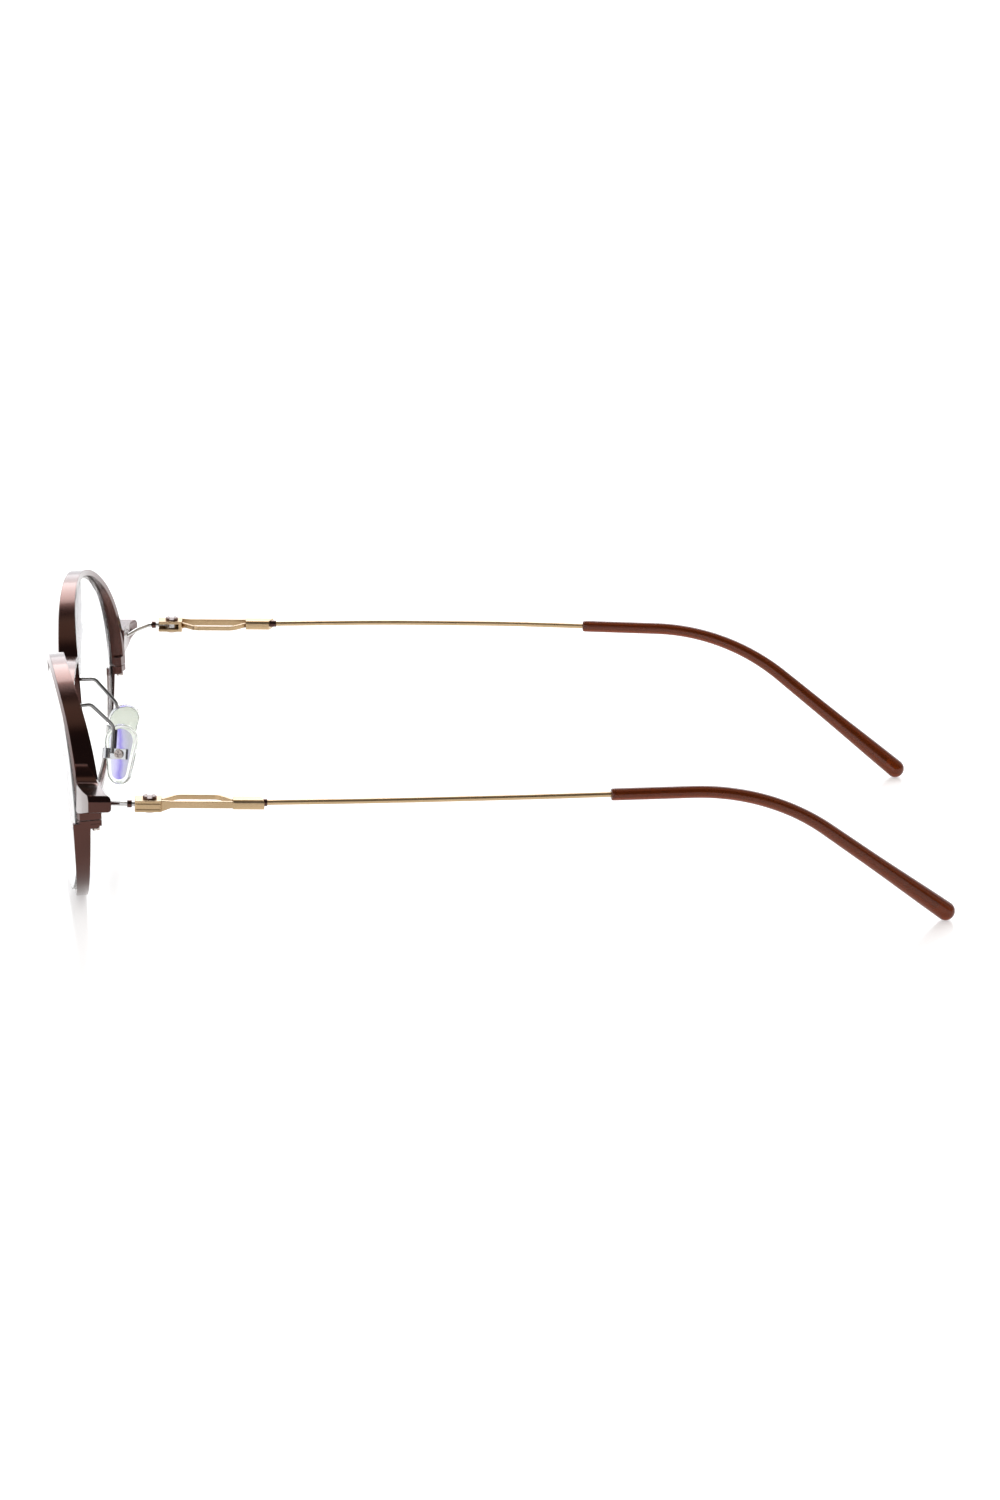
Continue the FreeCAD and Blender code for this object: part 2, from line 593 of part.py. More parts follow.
def make_pad_box():
    """Clip at the end of the pad arm: a plate with a bore and a rounded cheek."""
    x0, x1 = PAD_CLIP_INNER, PAD_CLIP_OUTER
    z1 = PAD_BOX_HEIGHT / 2
    plate = box(x0, x1, -PAD_BOX_FRONT, PAD_BOX_REAR, -z1, z1)
    centre = Vector(x1 - 0.15, -PAD_BOX_FRONT, 0)
    cheek = cylinder(PAD_CHEEK_RADIUS, centre - Z_AXIS * z1, centre + Z_AXIS * z1)
    plate = plate.fuse(cheek.common(box(x0, 5, -5, 5, -5, 5)))
    bore = cylinder(PAD_SCREW_RADIUS + RUNNING_FIT, Vector(-5, 0, 0), Vector(5, 0, 0))
    head_room = cylinder(PAD_HEAD_RADIUS + RUNNING_FIT, Vector(x1, 0, 0), Vector(5, 0, 0))
    return placed(plate.cut(bore).cut(head_room).removeSplitter(), pad_place)


def make_pad_arm(rim, lens, pad_box):
    """Wire from the rear of the nasal rim to the top of the pad clip."""
    foot = pad_point(PAD_CLIP_OUTER, -PAD_ARM_OFFSET, 0)
    above_foot = pad_point(PAD_CLIP_OUTER, -PAD_ARM_OFFSET, PAD_ARM_DROP)
    edges = arc_route(PAD_ARM_ROUTE + [above_foot, foot], PAD_ARM_BENDS)
    return round_sweep(edges, PAD_ARM_RADIUS).cut(rim).cut(lens).cut(pad_box)


# ---------------------------------------------------------------- assembly
def build_left():
    lens = placed(make_lens(), lens_place)
    rim = placed(make_rim(), lens_place)
    rim_block = placed(oval_prism(RIM_FIT + RIM_WALL), lens_place)
    arm = make_hinge_arm()
    wire = make_temple_wire()
    collar = make_collar(wire)
    screw = make_pad_screw()
    insert = make_pad_insert(screw)
    pad_box = make_pad_box()
    return {
        "rim": rim,
        "lock_screw": placed(make_lock_screw(), lens_place),
        "lens": lens,
        "end_piece": make_end_piece(rim_block, arm),
        "hinge_arm": arm,
        "arm_ring": make_arm_ring(arm),
        "hinge_box": make_hinge_box(),
        "hinge_screw": make_hinge_screw(),
        "hinge_nut": make_hinge_nut(),
        "outer_leaf": make_outer_leaf(),
        "inner_strand": make_inner_strand(),
        "collar": collar,
        "wire_seal": make_wire_seal(wire, collar),
        "temple_wire": wire,
        "ear_tip": make_ear_tip(wire),
        "pad_arm": make_pad_arm(rim, lens, pad_box),
        "pad_box": pad_box,
        "pad_screw": screw,
        "pad_insert": insert,
        "nose_pad": make_nose_pad(insert.fuse(screw)),
    }, make_bridge(rim_block)


def main():
    os.makedirs("parts", exist_ok=True)
    left, bridge = build_left()
    nodes = {"bridge": bridge}
    for name, shape in left.items():
        nodes[name + "_left"] = shape
        nodes[name + "_right"] = mirrored(shape)
    extent = FreeCAD.BoundBox()
    for shape in nodes.values():
        extent.add(shape.optimalBoundingBox())
    shift = Vector(0, -extent.Center.y, -extent.ZMin)
    for name, shape in nodes.items():
        shape.translate(shift)
        shape.exportStep("parts/" + name + ".step")
        print("%-20s solids %d valid %s volume %.3f" % (
            name, len(shape.Solids), shape.isValid(), shape.Volume))
    pad_axis = pad_place.Rotation.multVec(X_AXIS)
    print("size", extent.XLength, extent.YLength, extent.ZLength)
    print("shift", shift)
    print("hinge axis point", hinge_point + shift)
    print("pad pivot", PAD_CENTRE + shift, "pad axis", pad_axis)


main()
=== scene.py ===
import json
import math

import bmesh
import bpy
from mathutils import Matrix, Vector


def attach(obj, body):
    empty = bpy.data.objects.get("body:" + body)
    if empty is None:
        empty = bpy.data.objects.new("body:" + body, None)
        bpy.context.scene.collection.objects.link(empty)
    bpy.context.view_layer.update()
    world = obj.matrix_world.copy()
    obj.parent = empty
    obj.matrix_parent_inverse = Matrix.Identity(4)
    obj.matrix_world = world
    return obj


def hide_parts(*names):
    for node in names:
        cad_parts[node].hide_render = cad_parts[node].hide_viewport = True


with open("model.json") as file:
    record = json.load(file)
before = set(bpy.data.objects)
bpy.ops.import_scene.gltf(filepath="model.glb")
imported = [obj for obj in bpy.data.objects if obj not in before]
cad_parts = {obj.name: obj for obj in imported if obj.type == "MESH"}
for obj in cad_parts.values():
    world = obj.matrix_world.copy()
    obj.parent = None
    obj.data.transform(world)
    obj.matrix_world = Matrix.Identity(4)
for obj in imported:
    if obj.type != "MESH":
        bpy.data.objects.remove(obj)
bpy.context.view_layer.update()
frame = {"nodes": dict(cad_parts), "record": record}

# Full-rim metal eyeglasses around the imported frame. Lengths below are mm in the row frame, and every
# mesh is scaled to metres as it is made. The dimensions are the ones that the CAD parts are built to.
MM = 0.001
SHIFT = Vector((0.0, 1.215781, 0.173115))        # the CAD model's own move onto the floor
SIDES = {"left": 1, "right": -1}

# ---------------------------------------------------------------- lens dimensions
HALF_WIDTH, HALF_HEIGHT, SIDE_RADIUS = 23.0, 19.0, 17.3
LENS_PLACE = (Matrix.Translation(Vector((32.5, -77.4, 19.67)) + SHIFT)
              @ Matrix.Rotation(math.radians(4.9), 4, "Z")
              @ Matrix.Rotation(math.radians(4.1), 4, "X"))
LENS_RADIUS, LENS_THICKNESS, LENS_SETBACK, LENS_SKEW = 110.0, 2.0, 1.3, 2.4
BEVEL_HEIGHT, BEVEL_SETBACK, BEVEL_WIDTH = 0.4, 1.2, 0.5
BEVEL_EASE = 0.12           # rounds the tongue's outer corners
EDGE_CHAMFER = 0.1
OUTLINE_STEPS = 240


# ---------------------------------------------------------------- mesh helpers
def build(name, rings, body, materials, band=lambda gap: 0):
    """Closed mesh skinned over rings of equal length, in mm, with a cap at each end.

    band gives the material index of the faces between a ring and the next one."""
    mesh = bpy.data.meshes.new(name)
    n = len(rings[0])
    gaps = len(rings) - 1
    verts = [p * MM for ring in rings for p in ring]
    faces, index = [], []
    for i in range(gaps):
        for k in range(n):
            a, b = i * n + k, i * n + (k + 1) % n
            faces.append((a, b, b + n, a + n))
            index.append(band(i))
    faces.append(tuple(reversed(range(n))))
    index.append(band(0))
    faces.append(tuple(range(gaps * n, (gaps + 1) * n)))
    index.append(band(gaps - 1))
    mesh.from_pydata(verts, [], faces)
    for material in materials:
        mesh.materials.append(material)
    mesh.polygons.foreach_set("material_index", index)
    mesh.polygons.foreach_set("use_smooth", [True] * len(faces))
    work = bmesh.new()
    work.from_mesh(mesh)
    bmesh.ops.recalc_face_normals(work, faces=work.faces)
    work.to_mesh(mesh)
    work.free()
    piece = bpy.data.objects.new(name, mesh)
    bpy.context.scene.collection.objects.link(piece)
    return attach(piece, body)


def mirror(rings, side):
    """The rings as they are for the left side, reflected about X = 0 for the right side."""
    if side > 0:
        return rings
    return [[Vector((-p.x, p.y, p.z)) for p in reversed(ring)] for ring in rings]


def keep_edges(piece, degrees):
    """Flat shading across edges sharper than the angle, smooth across the others."""
    piece.data.set_sharp_from_angle(angle=math.radians(degrees))


# ---------------------------------------------------------------- lens outline
def oval_frame():
    """Side-arc centre, cap-arc radius, cap-arc centre depth and the angle where the arcs meet."""
    side_centre = HALF_WIDTH - SIDE_RADIUS
    cap = ((side_centre ** 2 + HALF_HEIGHT ** 2 - SIDE_RADIUS ** 2)
           / (2 * (HALF_HEIGHT - SIDE_RADIUS)))
    drop = cap - HALF_HEIGHT
    return side_centre, cap, drop, math.atan2(drop, side_centre)


def oval_point(turn, offset):
    """Outline point whose outward normal points at this angle, grown outward by an offset."""
    side_centre, cap, drop, meet = oval_frame()
    turn = (turn + math.pi) % (2 * math.pi) - math.pi
    c, s = math.cos(turn), math.sin(turn)
    if abs(turn) <= meet or abs(turn) >= math.pi - meet:
        centre = side_centre if abs(turn) <= meet else -side_centre
        reach = SIDE_RADIUS + offset
        return centre + reach * c, reach * s
    reach = cap + offset
    return reach * c, reach * s - math.copysign(drop, turn)


def lens_depth(x, z, behind):
    """Depth of the layer that lies this far behind the lens's front surface."""
    radius = LENS_RADIUS - behind
    return LENS_SETBACK + LENS_RADIUS - math.sqrt(radius ** 2 - (x + LENS_SKEW) ** 2 - z ** 2)


def to_row(x, y, z):
    return LENS_PLACE @ Vector((x, y, z))


# ---------------------------------------------------------------- lens
def make_lens(side_name, side, polish, ground):
    """Meniscus with small safety chamfers and the tongue that sits in the rim's groove."""
    def ring(offset, behind, scale=1.0):
        points = []
        for k in range(OUTLINE_STEPS):
            x, z = oval_point(2 * math.pi * k / OUTLINE_STEPS, offset)
            x, z = x * scale, z * scale
            points.append(to_row(x, lens_depth(x, z, behind), z))
        return points

    scales = [0.02] + [k / 26 for k in range(1, 26)] + [0.985, 1.0]
    rings = [ring(-EDGE_CHAMFER, 0.0, scale) for scale in scales]
    first = len(rings) - 1
    bevel_rear = BEVEL_SETBACK + BEVEL_WIDTH
    shoulder = BEVEL_HEIGHT - BEVEL_EASE
    edge = ((0.0, EDGE_CHAMFER), (0.0, BEVEL_SETBACK / 2), (0.0, BEVEL_SETBACK),
            (shoulder, BEVEL_SETBACK), (BEVEL_HEIGHT, BEVEL_SETBACK + BEVEL_EASE),
            (BEVEL_HEIGHT, BEVEL_SETBACK + BEVEL_WIDTH / 2), (BEVEL_HEIGHT, bevel_rear - BEVEL_EASE),
            (shoulder, bevel_rear), (0.0, bevel_rear), (0.0, LENS_THICKNESS - EDGE_CHAMFER))
    rings += [ring(offset, behind) for offset, behind in edge]
    last = len(rings)
    rings += [ring(-EDGE_CHAMFER, LENS_THICKNESS, scale) for scale in reversed(scales)]
    lens = build("lens_clear_" + side_name, mirror(rings, side), "front", [polish, ground],
                 band=lambda i: 1 if first <= i < last else 0)
    keep_edges(lens, 30)
    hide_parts("lens_" + side_name)


# ---------------------------------------------------------------- temples
TEMPLE_ROUTE = [Vector(p) + SHIFT for p in (
    (65.05, -44.2, 23.65), (64.9, -20.0, 24.15), (63.2, 3.0, 24.45), (57.9, 42.6, 24.6),
    (48.1, 73.1, 1.45))]
TEMPLE_BENDS = (220.0, 200.0, 38.0)
WIRE_RADIUS = 0.425
TIP_START_Y = 16.15 + SHIFT.y
TIP_START_RADIUS, TIP_END_RADIUS = 1.02, 1.62
# Sleeve radius at shares of the tip's length.
TIP_STATIONS = ((0.0, TIP_START_RADIUS), (0.30, TIP_START_RADIUS), (0.475, 1.07), (0.73, 1.25),
                (1.0, TIP_END_RADIUS))
TIP_END_RINGS = 14


def route_samples(points, radii, step):
    """Centre-line points and directions along straight runs joined by tangent arcs."""
    samples = []
    start = points[0]

    def run(a, b):
        count = max(1, math.ceil((b - a).length / step))
        direction = (b - a).normalized()
        for k in range(count):
            samples.append((a.lerp(b, k / count), direction))

    for before, corner, after, radius in zip(points, points[1:], points[2:], radii):
        into, out = (corner - before).normalized(), (after - corner).normalized()
        turn = into.angle(out)
        reach = radius * math.tan(turn / 2)
        arc_start, arc_end = corner - into * reach, corner + out * reach
        run(start, arc_start)
        centre = corner + (out - into).normalized() * (radius / math.cos(turn / 2))
        axis = into.cross(out).normalized()
        count = max(2, math.ceil(radius * turn / step))
        for k in range(count):
            spin = Matrix.Rotation(turn * k / count, 3, axis)
            samples.append((centre + spin @ (arc_start - centre), spin @ into))
        start = arc_end
    run(start, points[-1])
    samples.append((points[-1].copy(), (points[-1] - points[-2]).normalized()))
    return samples


def circle_ring(centre, direction, radius, sides=40):
    side = direction.cross(Vector((0, 0, 1))).normalized()
    up = side.cross(direction).normalized()
    turns = [2 * math.pi * k / sides for k in range(sides)]
    return [centre + (side * math.cos(turn) + up * math.sin(turn)) * radius for turn in turns]


def make_ear_tip(side_name, side, material):
    """Sleeve from its rounded mouth to the swollen end, hollow where the core wire runs."""
    samples = route_samples(TEMPLE_ROUTE, TEMPLE_BENDS, 0.6)
    samples = [s for s in samples if s[0].y >= TIP_START_Y]
    lengths = [0.0]
    for (a, _), (b, _) in zip(samples, samples[1:]):
        lengths.append(lengths[-1] + (b - a).length)
    total = lengths[-1]

    def radius_at(share):
        """Partly eased between stations, so that no ridge shows where the taper changes."""
        for (f0, r0), (f1, r1) in zip(TIP_STATIONS, TIP_STATIONS[1:]):
            if share <= f1:
                t = (share - f0) / (f1 - f0)
                return r0 + (r1 - r0) * (t * t * (3 - 2 * t) * 0.35 + t * 0.65)
        return TIP_END_RADIUS

    mouth, inward = samples[0]
    rings = []
    for ahead, radius in ((0.8, WIRE_RADIUS), (0.12, WIRE_RADIUS + 0.02), (0.0, WIRE_RADIUS + 0.14),
                          (0.0, TIP_START_RADIUS - 0.30), (0.05, TIP_START_RADIUS - 0.14),
                          (0.18, TIP_START_RADIUS - 0.03)):
        rings.append(circle_ring(mouth + inward * ahead, inward, radius))
    for (centre, direction), length in zip(samples[1:], lengths[1:]):
        rings.append(circle_ring(centre, direction, radius_at(length / total)))
    end, onward = samples[-1]
    for k in range(1, TIP_END_RINGS):
        turn = math.pi / 2 * k / TIP_END_RINGS
        rings.append(circle_ring(end + onward * TIP_END_RADIUS * math.sin(turn), onward,
                                 TIP_END_RADIUS * math.cos(turn)))
    tip = build("tip_sleeve_" + side_name, mirror(rings, side), "temple_" + side_name, [material])
    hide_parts("ear_tip_" + side_name)


# ---------------------------------------------------------------- nose pads
PAD_PLACE = (Matrix.Translation(Vector((7.95, -65.15, 17.3)) + SHIFT)
             @ Matrix.Rotation(math.radians(-12.0), 4, "Z")
             @ Matrix.Rotation(math.radians(-16.0), 4, "Y"))
PAD_LENGTH, PAD_TOP_RADIUS, PAD_BOTTOM_RADIUS = 10.4, 2.95, 2.15
PAD_RECESS = 0.85


def teardrop(inset, depth, count=72):
    """Ring of the pad's outline, drawn in by an inset, at a depth along the pad's axis."""
    top = PAD_LENGTH / 2 - PAD_TOP_RADIUS
    bottom = -PAD_LENGTH / 2 + PAD_BOTTOM_RADIUS
    slope = math.asin((PAD_TOP_RADIUS - PAD_BOTTOM_RADIUS) / (top - bottom))
    ring = []
    half = count // 2
    for k in range(half):
        t = -slope + (math.pi + 2 * slope) * k / (half - 1)
        r = PAD_TOP_RADIUS - inset
        ring.append(PAD_PLACE @ Vector((depth, r * math.cos(t), top + r * math.sin(t))))
    for k in range(half):
        t = math.pi + slope + (math.pi - 2 * slope) * k / (half - 1)
        r = PAD_BOTTOM_RADIUS - inset
        ring.append(PAD_PLACE @ Vector((depth, r * math.cos(t), bottom + r * math.sin(t))))
    return ring


def make_nose_pad(side_name, side, material):
    """Soft pad: domed towards the nose, with a raised lip round its backing plate."""
    profile = ((2.1, -0.985), (1.5, -0.95), (1.05, -0.87), (0.7, -0.75), (0.42, -0.57), (0.2, -0.33),
               (0.06, -0.05), (0.0, 0.25), (0.02, 0.52), (0.1, 0.76), (0.25, 0.92), (0.45, 0.99),
               (0.62, 1.0), (0.76, 0.95), (PAD_RECESS, 0.84), (PAD_RECESS, 0.69), (1.1, 0.685),
               (2.1, 0.68))
    rings = [teardrop(inset, depth) for inset, depth in profile]
    pad = build("pad_soft_" + side_name, mirror(rings, side), "pad_" + side_name, [material])
    keep_edges(pad, 60)
    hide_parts("nose_pad_" + side_name)


# ---------------------------------------------------------------- materials
def new_material(name):
    material = bpy.data.materials.new(name)
    material.use_nodes = True
    nodes, links = material.node_tree.nodes, material.node_tree.links
    shader = next(n for n in nodes if n.type == "BSDF_PRINCIPLED")
    return material, nodes, links, shader


def noise(nodes, links, scale, stretch=(1, 1, 1), detail=4.0, roughness=0.5):
    """Noise in object space, stretched along an axis for a brushed or turned look."""
    coords = nodes.new("ShaderNodeTexCoord")
    mapping = nodes.new("ShaderNodeMapping")
    mapping.inputs["Scale"].default_value = stretch
    texture = nodes.new("ShaderNodeTexNoise")
    texture.inputs["Scale"].default_value = scale
    texture.inputs["Detail"].default_value = detail
    texture.inputs["Roughness"].default_value = roughness
    links.new(coords.outputs["Object"], mapping.inputs["Vector"])
    links.new(mapping.outputs["Vector"], texture.inputs["Vector"])
    return texture


def ramp(nodes, links, factor, stops):
    node = nodes.new("ShaderNodeValToRGB")
    while len(node.color_ramp.elements) < len(stops):
        node.color_ramp.elements.new(0.5)
    for element, (position, colour) in zip(node.color_ramp.elements, stops):
        element.position = position
        element.color = (*colour, 1.0)
    links.new(factor, node.inputs["Fac"])
    return node.outputs["Color"]


def remap(nodes, links, value, low, high):
    """Value of a noise, spread over the range from low to high."""
    node = nodes.new("ShaderNodeMapRange")
    node.inputs["From Min"].default_value = 0.3
    node.inputs["From Max"].default_value = 0.7
    node.inputs["To Min"].default_value = low
    node.inputs["To Max"].default_value = high
    links.new(value, node.inputs["Value"])
    return node.outputs["Result"]


def calc(nodes, links, operation, *values):
    """Math node over sockets and plain numbers."""
    node = nodes.new("ShaderNodeMath")
    node.operation = operation
    for socket, value in zip(node.inputs, values):
        if isinstance(value, (int, float)):
            socket.default_value = value
        else:
            links.new(value, socket)
    return node.outputs["Value"]


def bump(nodes, links, shader, height, distance, edge_round):
    """Fine relief over edges that are eased by a small radius."""
    ease = nodes.new("ShaderNodeBevel")
    ease.samples = 6
    ease.inputs["Radius"].default_value = edge_round
    node = nodes.new("ShaderNodeBump")
    node.inputs["Distance"].default_value = distance
    node.inputs["Strength"].default_value = 0.6
    links.new(height, node.inputs["Height"])
    links.new(ease.outputs["Normal"], node.inputs["Normal"])
    links.new(node.outputs["Normal"], shader.inputs["Normal"])


def plated_metal(name, dark, light, rough, grain, stretch=(1, 1, 1), relief=2e-6, coat=0.0,
                 ease=1.5e-4):
    """Satin plating: slow colour drift, fine roughness variation and a shallow brushed grain."""
    material, nodes, links, shader = new_material(name)
    drift = noise(nodes, links, 90.0, detail=2.0)
    colour = ramp(nodes, links, drift.outputs["Fac"], ((0.3, dark), (0.7, light)))
    links.new(colour, shader.inputs["Base Color"])
    texture = noise(nodes, links, grain, stretch, detail=6.0, roughness=0.6)
    links.new(remap(nodes, links, texture.outputs["Fac"], *rough), shader.inputs["Roughness"])
    bump(nodes, links, shader, texture.outputs["Fac"], relief, ease)
    shader.inputs["Metallic"].default_value = 1.0
    shader.inputs["Coat Weight"].default_value = coat
    shader.inputs["Coat Roughness"].default_value = 0.1
    return material


def painted_reflection_plate(name, front, rear):
    """Plate with painted reflection bands (white, violet, grey) across its polished outer face, and a
    matt bonded face.
    """
    material, nodes, links, shader = new_material(name)
    coords = nodes.new("ShaderNodeTexCoord")
    split = nodes.new("ShaderNodeSeparateXYZ")
    links.new(coords.outputs["Object"], split.inputs["Vector"])
    facing = nodes.new("ShaderNodeSeparateXYZ")
    links.new(coords.outputs["Normal"], facing.inputs["Vector"])
    cloud = noise(nodes, links, 260.0, detail=2.0)
    span = rear - front
    drift = calc(nodes, links, "MULTIPLY_ADD", cloud.outputs["Fac"], span * 0.5, split.outputs["Y"])
    along = nodes.new("ShaderNodeMapRange")
    along.inputs["From Min"].default_value = front + span * 0.25
    along.inputs["From Max"].default_value = rear + span * 0.25
    links.new(drift, along.inputs["Value"])
    # Painted reflection: white, violet and grey bands along the plate's depth stand in for the
    # surroundings it mirrors
    painted_reflection_bands = ramp(nodes, links, along.outputs["Result"], (
        (0.10, (0.80, 0.80, 0.82)), (0.32, (0.62, 0.58, 0.84)), (0.48, (0.34, 0.29, 0.70)),
        (0.62, (0.52, 0.50, 0.66)), (0.85, (0.50, 0.50, 0.53))))
    outward = calc(nodes, links, "MULTIPLY", facing.outputs["X"], split.outputs["X"])
    bonded = calc(nodes, links, "LESS_THAN", outward, -0.003)
    face_colour = nodes.new("ShaderNodeMix")
    face_colour.data_type = "RGBA"
    links.new(bonded, face_colour.inputs["Factor"])
    links.new(painted_reflection_bands, face_colour.inputs["A"])
    face_colour.inputs["B"].default_value = (0.95, 0.97, 0.92, 1.0)
    links.new(face_colour.outputs["Result"], shader.inputs["Base Color"])
    polish = remap(nodes, links, cloud.outputs["Fac"], 0.04, 0.1)
    links.new(calc(nodes, links, "MULTIPLY_ADD", bonded, 0.2, polish), shader.inputs["Roughness"])
    shader.inputs["Metallic"].default_value = 1.0
    return material


def make_glass(name, rough, ior, film=0.0, tint=(1.0, 1.0, 1.0), clear=1.0, gloss=0.5):
    """Clear or tinted solid. clear is the share of light let in, film a coating in nanometres."""
    material, nodes, links, shader = new_material(name)
    smear = noise(nodes, links, 60.0, detail=3.0)
    links.new(remap(nodes, links, smear.outputs["Fac"], *rough), shader.inputs["Roughness"])
    shader.inputs["Base Color"].default_value = (*tint, 1.0)
    shader.inputs["IOR"].default_value = ior
    shader.inputs["Transmission Weight"].default_value = clear
    shader.inputs["Specular IOR Level"].default_value = gloss
    shader.inputs["Thin Film Thickness"].default_value = film
    shader.inputs["Thin Film IOR"].default_value = 1.38
    return material


def absorb(material, colour, density):
    nodes, links = material.node_tree.nodes, material.node_tree.links
    volume = nodes.new("ShaderNodeVolumeAbsorption")
    volume.inputs["Color"].default_value = (*colour, 1.0)
    volume.inputs["Density"].default_value = density
    out = next(n for n in nodes if n.type == "OUTPUT_MATERIAL")
    links.new(volume.outputs["Volume"], out.inputs["Volume"])


brown = plated_metal("brown_plating", (0.056, 0.017, 0.011), (0.078, 0.026, 0.018), (0.16, 0.24), 2600.0,
                     relief=1e-6, coat=0.5, ease=2.2e-4)
champagne = plated_metal("champagne_plating", (0.50, 0.355, 0.20), (0.56, 0.40, 0.235), (0.24, 0.34),
                         3000.0, (1, 0.06, 1), ease=1.8e-4)
silver = plated_metal("silver_plating", (0.46, 0.45, 0.44), (0.56, 0.55, 0.53), (0.16, 0.26), 3000.0,
                      (1, 0.2, 1), relief=1e-6)
steel = plated_metal("screw_steel", (0.42, 0.36, 0.33), (0.54, 0.48, 0.44), (0.14, 0.24), 5000.0,
                     relief=1e-6)
chrome = plated_metal("clip_chrome", (0.60, 0.60, 0.60), (0.68, 0.68, 0.67), (0.05, 0.10), 1200.0,
                      relief=6e-6)
gunmetal = plated_metal("arm_gunmetal", (0.24, 0.24, 0.24), (0.32, 0.31, 0.30), (0.14, 0.24), 3000.0,
                        (1, 0.2, 1), relief=1e-6)
bronze = plated_metal("screw_bronze", (0.14, 0.085, 0.07), (0.20, 0.13, 0.11), (0.14, 0.24), 5000.0,
                      relief=1e-6)
# Pad plate whose outer face carries painted reflection bands
plate = painted_reflection_plate("pad_plate", -0.0662, -0.0620)
lens_face = make_glass("lens_polish", (0.0, 0.004), 1.5, film=110.0)
lens_edge = make_glass("lens_edge", (0.12, 0.22), 1.5)
acetate = make_glass("brown_acetate", (0.06, 0.14), 1.49, tint=(0.20, 0.036, 0.003), clear=0.5,
                     gloss=0.2)
absorb(acetate, (0.70, 0.42, 0.25), 480.0)
silicone = make_glass("clear_silicone", (0.10, 0.2), 1.41, tint=(0.98, 0.99, 0.97), clear=0.95)
absorb(silicone, (0.80, 0.86, 0.78), 120.0)

SLOT_MATERIAL = {"brown_plate": brown, "champagne_plate": champagne, "silver_plate": silver,
                 "screw_steel": steel, "pad_plate": plate, "lens_clear": lens_face,
                 "tip_acetate": acetate, "pad_silicone": silicone}
NODE_MATERIAL = {"pad_box": chrome, "pad_arm": gunmetal, "hinge_screw": bronze}

# ---------------------------------------------------------------- CAD nodes that stay
slot_of = {row["node"]: row["material_slot"] for row in frame["record"]["subparts"]}


def shade_crisp(piece):
    """Smooth shading over curved faces, split along the solid's real edges."""
    weld = piece.modifiers.new("weld", "WELD")
    weld.merge_threshold = 1e-6
    split = piece.modifiers.new("split", "EDGE_SPLIT")
    split.split_angle = math.radians(24)


for node, piece in frame["nodes"].items():
    piece.data.materials.clear()
    plain_name = node.rsplit("_", 1)[0]
    piece.data.materials.append(NODE_MATERIAL.get(plain_name, SLOT_MATERIAL[slot_of[node]]))
    piece.data.polygons.foreach_set("use_smooth", [True] * len(piece.data.polygons))
    shade_crisp(piece)

for side_name, side in SIDES.items():
    make_lens(side_name, side, lens_face, lens_edge)
    make_ear_tip(side_name, side, acetate)
    make_nose_pad(side_name, side, silicone)


# ---------------------------------------------------------------- floor, light, camera
def make_floor():
    mesh = bpy.data.meshes.new("floor")
    reach = 6.0
    mesh.from_pydata([(-reach, -reach, 0), (reach, -reach, 0), (reach, reach, 0), (-reach, reach, 0)], [],
                     [(0, 1, 2, 3)])
    floor = bpy.data.objects.new("floor", mesh)
    bpy.context.scene.collection.objects.link(floor)
    material, nodes, links, shader = new_material("floor_white")
    shader.inputs["Base Color"].default_value = (0.86, 0.86, 0.855, 1.0)
    shader.inputs["Roughness"].default_value = 0.16
    shader.inputs["IOR"].default_value = 1.3
    shader.inputs["Emission Color"].default_value = (1.0, 1.0, 1.0, 1.0)
    shader.inputs["Emission Strength"].default_value = 0.47
    mesh.materials.append(material)


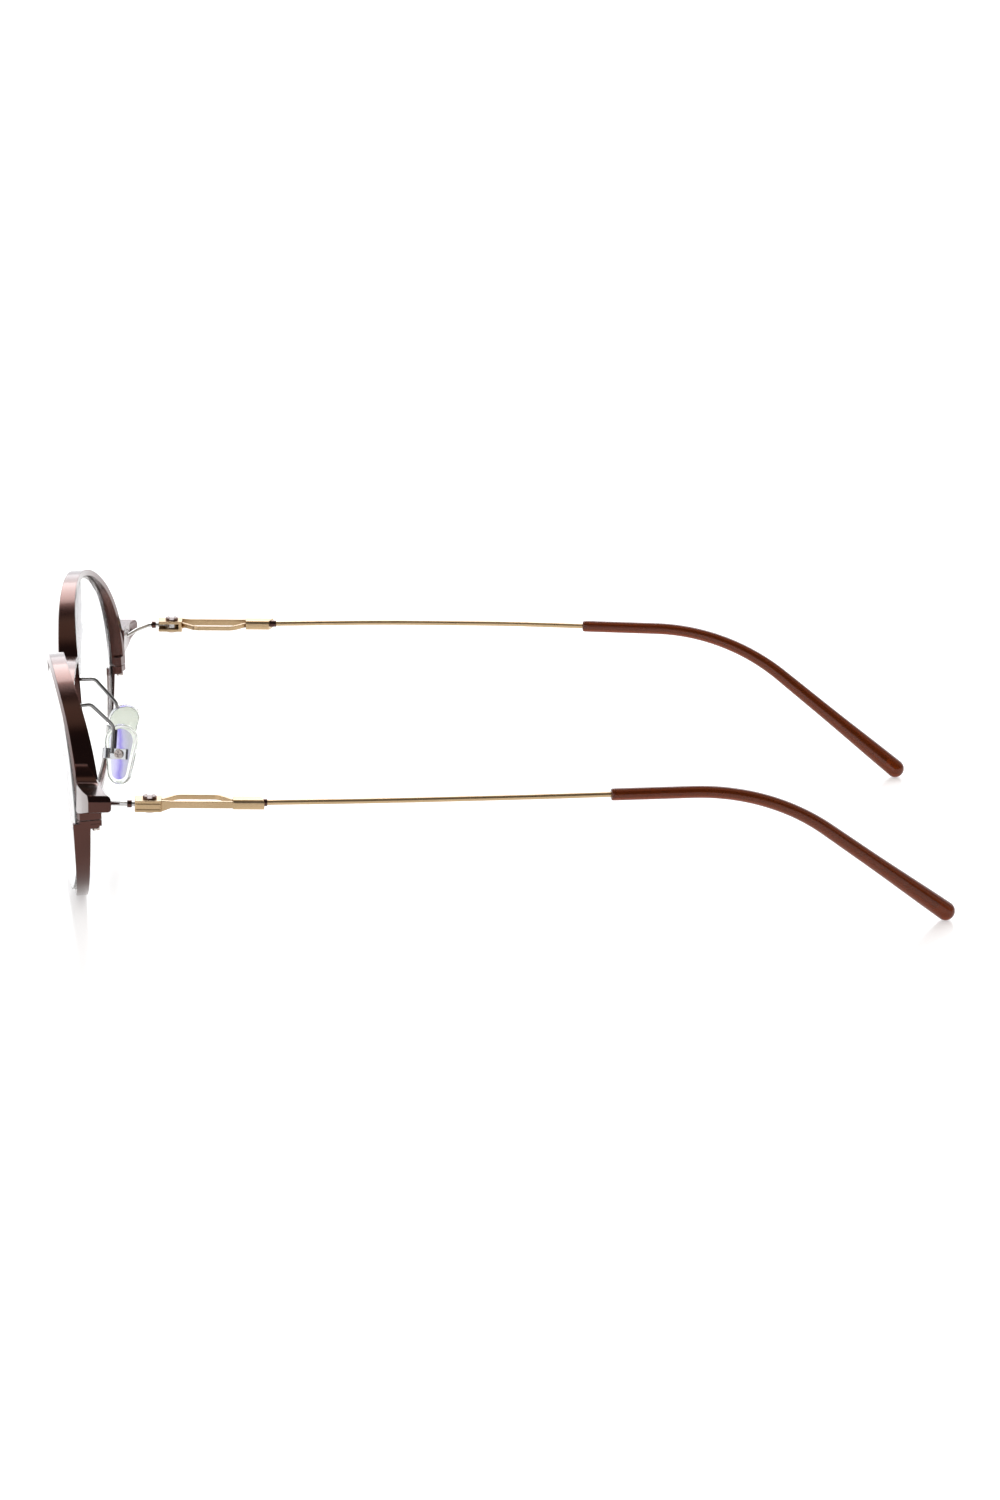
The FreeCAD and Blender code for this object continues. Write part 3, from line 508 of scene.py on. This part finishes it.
def make_world():
    """Light tent by direction: dark on the camera's side, a dim warm band overhead, bright elsewhere."""
    world = bpy.data.worlds.new("studio")
    bpy.context.scene.world = world
    world.use_nodes = True
    nodes, links = world.node_tree.nodes, world.node_tree.links
    nodes.clear()
    out = nodes.new("ShaderNodeOutputWorld")
    background = nodes.new("ShaderNodeBackground")
    coords = nodes.new("ShaderNodeTexCoord")
    split = nodes.new("ShaderNodeSeparateXYZ")
    links.new(coords.outputs["Generated"], split.inputs["Vector"])

    def smooth(value, low, high):
        node = nodes.new("ShaderNodeMapRange")
        node.interpolation_type = "SMOOTHSTEP"
        node.inputs["From Min"].default_value = low
        node.inputs["From Max"].default_value = high
        links.new(value, node.inputs["Value"])
        return node.outputs["Result"]

    def times(a, b):
        return calc(nodes, links, "MULTIPLY", a, b)

    def blend(factor, under, colour):
        node = nodes.new("ShaderNodeMix")
        node.data_type = "RGBA"
        links.new(factor, node.inputs["Factor"])
        if isinstance(under, tuple):
            node.inputs["A"].default_value = (*under, 1.0)
        else:
            links.new(under, node.inputs["A"])
        node.inputs["B"].default_value = (*colour, 1.0)
        return node.outputs["Result"]

    x, y, z = split.outputs["X"], split.outputs["Y"], split.outputs["Z"]
    camera_side = times(smooth(x, -0.54, -0.34), smooth(z, 0.0, 0.1))
    front_box = times(smooth(y, -0.14, -0.3), smooth(z, 0.62, 0.45))
    colour = blend(camera_side, (1.35, 1.37, 1.42), (0.09, 0.09, 0.10))
    overhead = times(smooth(x, -0.32, -0.16), smooth(x, 0.42, 0.16))
    colour = blend(overhead, colour, (0.62, 0.55, 0.46))
    colour = blend(front_box, colour, (1.25, 1.26, 1.32))
    links.new(colour, background.inputs["Color"])
    background.inputs["Strength"].default_value = 1.0
    links.new(background.outputs["Background"], out.inputs["Surface"])


def area_light(name, position, target, size, power, colour=(1, 1, 1)):
    light = bpy.data.lights.new(name, "AREA")
    light.shape = "RECTANGLE"
    light.size, light.size_y = size
    light.energy = power
    light.color = colour
    lamp = bpy.data.objects.new(name, light)
    lamp.location = position
    lamp.rotation_euler = (Vector(target) - Vector(position)).to_track_quat("-Z", "Y").to_euler()
    bpy.context.scene.collection.objects.link(lamp)


def make_camera():
    azimuth, elevation, roll = math.radians(88.418), math.radians(14.058), math.radians(0.742)
    target = Vector((0.0, 1.215781, 16.6531)) * MM
    back = Vector((math.sin(azimuth) * math.cos(elevation), -math.cos(azimuth) * math.cos(elevation),
                   math.sin(elevation)))
    data = bpy.data.cameras.new("camera")
    data.sensor_width = 36.0
    data.lens = 147.03
    data.clip_start, data.clip_end = 0.01, 50.0
    camera = bpy.data.objects.new("camera", data)
    right = (-back).cross(Vector((0, 0, 1))).normalized()
    up = right.cross(-back)
    right_rolled = right * math.cos(roll) + up * math.sin(roll)
    up_rolled = up * math.cos(roll) - right * math.sin(roll)
    camera.matrix_world = Matrix((
        (right_rolled.x, up_rolled.x, back.x, 0), (right_rolled.y, up_rolled.y, back.y, 0),
        (right_rolled.z, up_rolled.z, back.z, 0), (0, 0, 0, 1)))
    camera.location = target + back * 1.05985
    bpy.context.scene.collection.objects.link(camera)
    bpy.context.scene.camera = camera


make_floor()
make_world()
area_light("back_softbox", (-0.9, 0.1, 0.7), (0, 0, 0.0), (0.7, 0.9), 3.0, (0.95, 0.97, 1.0))
area_light("front_panel", (-0.52, -0.19, 0.5), (-0.52, -0.19, 0.0), (0.48, 0.32), 1.55)
make_camera()
scene = bpy.context.scene
scene.view_settings.view_transform = "Standard"
scene.cycles.glossy_bounces = 16
scene.cycles.max_bounces = 24
scene.cycles.transmission_bounces = 16
